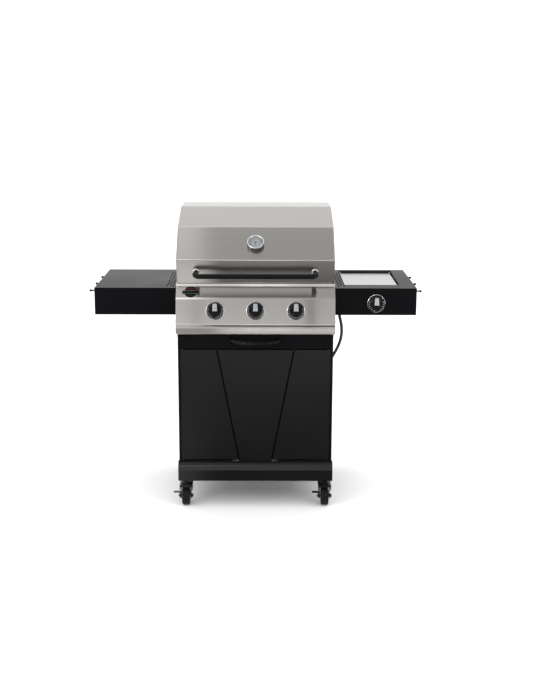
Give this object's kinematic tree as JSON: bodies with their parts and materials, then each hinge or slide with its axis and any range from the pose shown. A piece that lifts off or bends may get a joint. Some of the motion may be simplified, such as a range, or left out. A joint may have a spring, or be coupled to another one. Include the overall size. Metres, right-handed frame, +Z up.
{
  "type": "gas barbecue grill",
  "caption": "Cabinet gas barbecue grill: faceted steel lid, sloped knob panel, V-front doors, drip drawer, side shelves with a covered side burner, locking casters.",
  "frame": {"origin": "on the floor, at the centre of the object's outline seen from above", "axes": "+X to the user's right along the shelves, +Y away from the user, +Z up"},
  "size_m": [1.305, 0.586, 1.1644],
  "materials": {
    "stainless": "fine horizontal brushing",
    "black_coat": "satin powder coat",
    "handle_black": "satin enamel",
    "chrome": "polished",
    "knob_black": "gloss",
    "enamel_black": "semi-gloss enamel",
    "cast_iron": "matt seasoned",
    "burner_steel": "plain mill finish",
    "zinc": "bright zinc plate",
    "brass": "machined",
    "tyre": "matt rubber",
    "hose_rubber": "braided cover",
    "dial_face": "satin print",
    "needle_red": "satin",
    "badge_gloss": "gloss"
  },
  "bodies": {
    "cart": {"base_shelf": "black_coat", "plinth_front": "black_coat", "side_panels": "black_coat", "back_panel": "black_coat", "cabinet_frame": "black_coat", "centre_panel": "black_coat", "door_hardware": "zinc", "firebox": "enamel_black", "burners": "burner_steel", "flame_tamers": "burner_steel", "cooking_grates": "cast_iron", "warming_rack": "chrome", "lid_hinge_brackets": "zinc", "control_panel": "stainless", "badge": "badge_gloss", "knob_bezels": "chrome", "gas_valves": "brass", "manifold_pipe": "zinc", "gas_fittings": "brass", "side_burner_hose": "hose_rubber", "igniter_electrodes": "burner_steel", "left_shelf": "black_coat", "right_shelf": "black_coat", "tool_pegs": "handle_black", "side_burner_pan": "enamel_black", "side_burner_head": "cast_iron", "side_burner_grate": "cast_iron", "caster_plates": "enamel_black", "screws": "chrome"},
    "lid": {"lid_skin": "stainless", "lid_end_caps": "stainless", "lid_handle": "handle_black", "handle_bezels": "chrome", "thermometer_case": "chrome", "thermometer_dial": "dial_face"},
    "needle": {"thermometer_needle": "needle_red"},
    "drawer": {"drip_tray_front": "black_coat", "drip_tray": "burner_steel", "drawer_handle": "handle_black"},
    "left_door": {"left_door": "black_coat"},
    "right_door": {"right_door": "black_coat"},
    "side_lid": {"side_burner_lid": "stainless"},
    "left_stem": {"left_valve_stem": "zinc"},
    "left_knob": {"left_knob": "knob_black"},
    "centre_stem": {"centre_valve_stem": "zinc"},
    "centre_knob": {"centre_knob": "knob_black"},
    "right_stem": {"right_valve_stem": "zinc"},
    "right_knob": {"right_knob": "knob_black"},
    "side_stem": {"side_valve_stem": "zinc"},
    "side_knob": {"side_knob": "knob_black"},
    "front_left_fork": {"front_left_fork": "enamel_black"},
    "front_left_wheel": {"front_left_wheel": "tyre"},
    "front_left_brake": {"front_left_brake_lever": "enamel_black"},
    "front_right_fork": {"front_right_fork": "enamel_black"},
    "front_right_wheel": {"front_right_wheel": "tyre"},
    "front_right_brake": {"front_right_brake_lever": "enamel_black"},
    "rear_left_fork": {"rear_left_fork": "enamel_black"},
    "rear_left_wheel": {"rear_left_wheel": "tyre"},
    "rear_right_fork": {"rear_right_fork": "enamel_black"},
    "rear_right_wheel": {"rear_right_wheel": "tyre"}
  },
  "joints": [
    {"name": "lid_hinge", "type": "hinge", "parent": "cart", "child": "lid", "pos_m": [0, 0.272, 0.912], "axis": [-1, 0, 0], "range_deg": [0, 85]},
    {"name": "needle_pivot", "type": "hinge", "parent": "lid", "child": "needle", "pos_m": [0, -0.18748, 1.05525], "axis": [0, 0.6854, -0.7282], "range_deg": [0, 240], "stiffness_Nm_per_rad": 0.002},
    {"name": "drawer_slide", "type": "slide", "parent": "cart", "child": "drawer", "axis": [0, -1, 0], "range_m": [0, 0.36]},
    {"name": "left_door_hinge", "type": "hinge", "parent": "cart", "child": "left_door", "pos_m": [-0.287, -0.225, 0.4], "axis": [0, 0, -1], "range_deg": [0, 110]},
    {"name": "right_door_hinge", "type": "hinge", "parent": "cart", "child": "right_door", "pos_m": [0.287, -0.225, 0.4], "axis": [0, 0, 1], "range_deg": [0, 110]},
    {"name": "side_lid_hinge", "type": "hinge", "parent": "cart", "child": "side_lid", "pos_m": [0.4638, 0.263, 0.8635], "axis": [-1, 0, 0], "range_deg": [0, 100]},
    {"name": "left_knob_push", "type": "slide", "parent": "cart", "child": "left_stem", "axis": [0, 0.969, -0.247], "range_m": [0, 0.004], "stiffness_N_per_m": 1500, "springref_m": -0.001},
    {"name": "left_knob_turn", "type": "hinge", "parent": "left_stem", "child": "left_knob", "pos_m": [-0.1565, -0.23486, 0.79449], "axis": [0, -0.969, 0.247], "range_deg": [0, 210]},
    {"name": "centre_knob_push", "type": "slide", "parent": "cart", "child": "centre_stem", "axis": [0, 0.969, -0.247], "range_m": [0, 0.004], "stiffness_N_per_m": 1500, "springref_m": -0.001},
    {"name": "centre_knob_turn", "type": "hinge", "parent": "centre_stem", "child": "centre_knob", "pos_m": [0, -0.23486, 0.79449], "axis": [0, -0.969, 0.247], "range_deg": [0, 210]},
    {"name": "right_knob_push", "type": "slide", "parent": "cart", "child": "right_stem", "axis": [0, 0.969, -0.247], "range_m": [0, 0.004], "stiffness_N_per_m": 1500, "springref_m": -0.001},
    {"name": "right_knob_turn", "type": "hinge", "parent": "right_stem", "child": "right_knob", "pos_m": [0.1565, -0.23486, 0.79449], "axis": [0, -0.969, 0.247], "range_deg": [0, 210]},
    {"name": "side_knob_push", "type": "slide", "parent": "cart", "child": "side_stem", "axis": [0, 1, 0], "range_m": [0, 0.004], "stiffness_N_per_m": 1500, "springref_m": -0.001},
    {"name": "side_knob_turn", "type": "hinge", "parent": "side_stem", "child": "side_knob", "pos_m": [0.4735, -0.16, 0.8125], "axis": [0, -1, 0], "range_deg": [0, 210]},
    {"name": "front_left_swivel", "type": "hinge", "parent": "cart", "child": "front_left_fork", "pos_m": [-0.278, -0.207, 0.098], "axis": [0, 0, 1], "continuous": true},
    {"name": "front_left_spin", "type": "hinge", "parent": "front_left_fork", "child": "front_left_wheel", "pos_m": [-0.278, -0.229, 0.036], "axis": [1, 0, 0], "continuous": true},
    {"name": "front_left_brake_press", "type": "hinge", "parent": "front_left_fork", "child": "front_left_brake", "pos_m": [-0.278, -0.229, 0.036], "axis": [1, 0, 0], "range_deg": [0, 30]},
    {"name": "front_right_swivel", "type": "hinge", "parent": "cart", "child": "front_right_fork", "pos_m": [0.278, -0.207, 0.098], "axis": [0, 0, 1], "continuous": true},
    {"name": "front_right_spin", "type": "hinge", "parent": "front_right_fork", "child": "front_right_wheel", "pos_m": [0.278, -0.229, 0.036], "axis": [1, 0, 0], "continuous": true},
    {"name": "front_right_brake_press", "type": "hinge", "parent": "front_right_fork", "child": "front_right_brake", "pos_m": [0.278, -0.229, 0.036], "axis": [1, 0, 0], "range_deg": [0, 30]},
    {"name": "rear_left_swivel", "type": "hinge", "parent": "cart", "child": "rear_left_fork", "pos_m": [-0.272, 0.212, 0.098], "axis": [0, 0, 1], "continuous": true},
    {"name": "rear_left_spin", "type": "hinge", "parent": "rear_left_fork", "child": "rear_left_wheel", "pos_m": [-0.272, 0.19, 0.036], "axis": [1, 0, 0], "continuous": true},
    {"name": "rear_right_swivel", "type": "hinge", "parent": "cart", "child": "rear_right_fork", "pos_m": [0.272, 0.212, 0.098], "axis": [0, 0, 1], "continuous": true},
    {"name": "rear_right_spin", "type": "hinge", "parent": "rear_right_fork", "child": "rear_right_wheel", "pos_m": [0.272, 0.19, 0.036], "axis": [1, 0, 0], "continuous": true}
  ]
}
